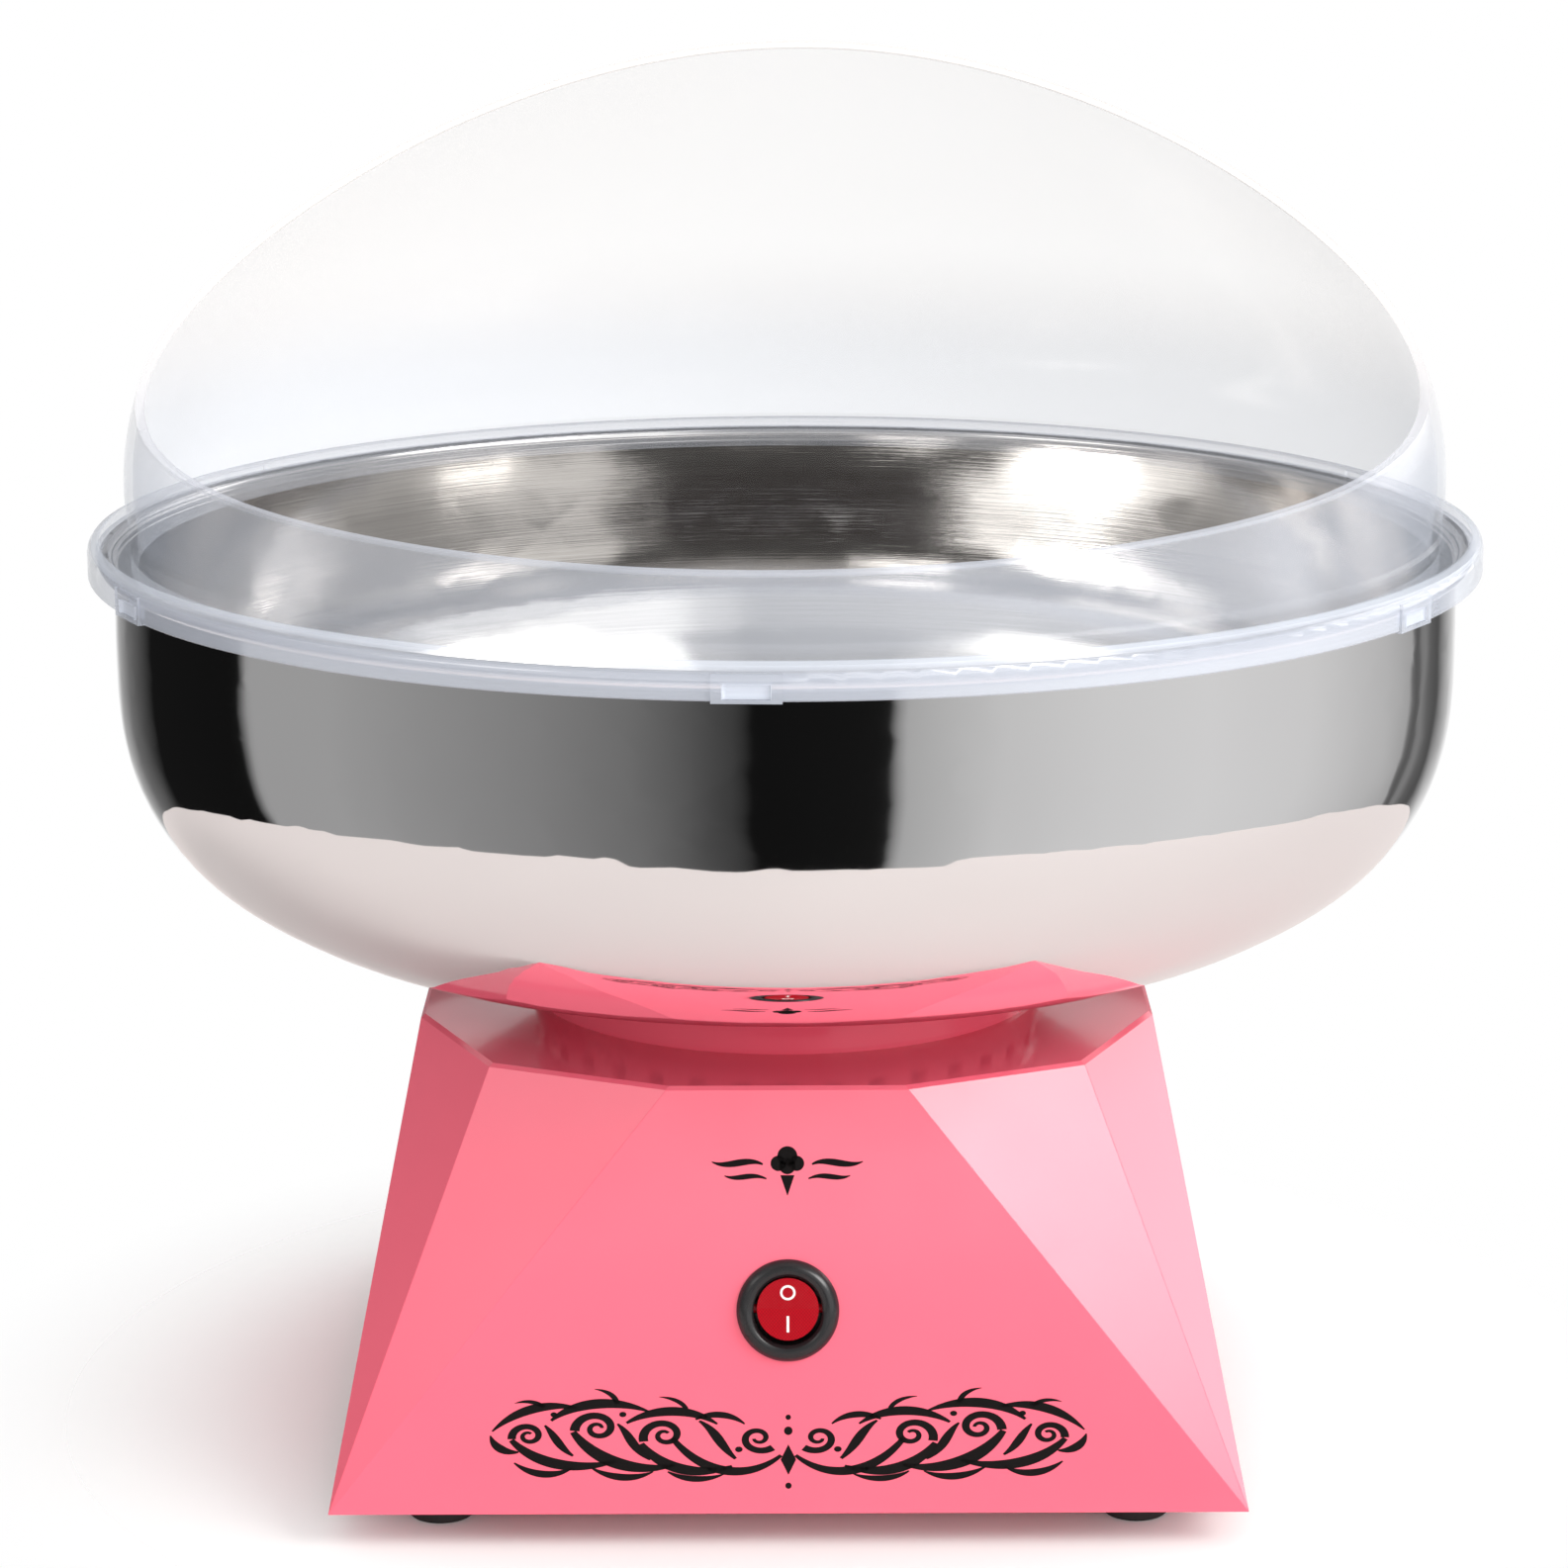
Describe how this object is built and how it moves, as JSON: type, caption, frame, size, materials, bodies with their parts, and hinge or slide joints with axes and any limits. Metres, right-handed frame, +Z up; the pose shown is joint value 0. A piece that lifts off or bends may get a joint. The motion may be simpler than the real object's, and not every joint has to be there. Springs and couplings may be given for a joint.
{
  "type": "cotton candy machine",
  "caption": "Table-top cotton candy machine: faceted pink base with a rocker switch, a polished steel bowl round a spinning heated head, and a clear slanted guard.",
  "frame": {"origin": "centre of the machine, on the surface that its feet stand on", "axes": "+Z up along the spinning shaft, -Y towards the switch and the low side of the guard, +X to the right of a person who faces the switch"},
  "size_m": [0.32, 0.3212, 0.3148],
  "materials": {
    "pink_plastic": "high gloss",
    "polished_steel": "mirror polished",
    "clear_plastic": "clear, slightly milky",
    "black_plastic": "semi-gloss",
    "red_rocker": "translucent gloss",
    "black_rubber": "matte",
    "white_plastic": "matte",
    "board": "semi-matte",
    "wire_sleeve": "braided sleeve",
    "steel_fastener": "zinc plated",
    "motor_steel": "plain",
    "element_steel": "heat darkened",
    "aluminium_parts": "spun",
    "brass_parts": "plain",
    "copper": "turned",
    "magnet": "matte",
    "ceramic_posts": "matte"
  },
  "bodies": {
    "base": {"base_shell": "pink_plastic", "bowl_seat": "pink_plastic", "bottom_plate": "pink_plastic", "base_screws": "steel_fastener", "foot_front_left": "black_rubber", "foot_front_right": "black_rubber", "foot_rear_left": "black_rubber", "foot_rear_right": "black_rubber", "switch_housing": "black_plastic", "switch_terminals": "brass_parts", "cord_gland": "black_rubber", "motor_can": "motor_steel", "motor_end_cap": "black_plastic", "motor_magnets": "magnet", "upper_bush": "brass_parts", "lower_bush": "brass_parts", "motor_bracket": "motor_steel", "motor_dampers": "black_rubber", "motor_screws": "steel_fastener", "bracket_rivets": "steel_fastener", "rectifier_board": "board", "terminal_block": "white_plastic", "terminal_screws": "brass_parts", "heater_leads": "wire_sleeve", "motor_leads": "wire_sleeve", "switch_leads": "wire_sleeve", "heater_cup": "aluminium_parts", "heater_screws": "steel_fastener", "heating_element": "element_steel", "element_supports": "ceramic_posts"},
    "rocker": {"switch_rocker": "red_rocker"},
    "rotor": {"motor_shaft": "motor_steel", "drive_pin": "motor_steel", "motor_armature": "motor_steel", "commutator": "copper", "cooling_fan": "black_plastic"},
    "head": {"head_dish": "aluminium_parts", "head_cover": "aluminium_parts", "head_hub": "aluminium_parts", "head_screws": "steel_fastener"},
    "bowl_body": {"bowl": "polished_steel", "bowl_seal": "black_rubber"},
    "guard_body": {"guard": "clear_plastic"}
  },
  "joints": [
    {"name": "rocker_tilt", "type": "hinge", "parent": "base", "child": "rocker", "pos_m": [0, -0.09083, 0.05193], "axis": [1, 0, 0], "range_deg": [0, 14]},
    {"name": "spinner_spin", "type": "hinge", "parent": "base", "child": "rotor", "pos_m": [0, 0, 0.1], "axis": [0, 0, 1], "continuous": true},
    {"name": "head_lift", "type": "slide", "parent": "rotor", "child": "head", "axis": [0, 0, 1], "range_m": [0, 0.2]},
    {"name": "bowl_lift", "type": "slide", "parent": "base", "child": "bowl_body", "axis": [0, 0, 1], "range_m": [0, 0.12]},
    {"name": "guard_lift", "type": "slide", "parent": "bowl_body", "child": "guard_body", "axis": [0, 0, 1], "range_m": [0, 0.12]}
  ]
}
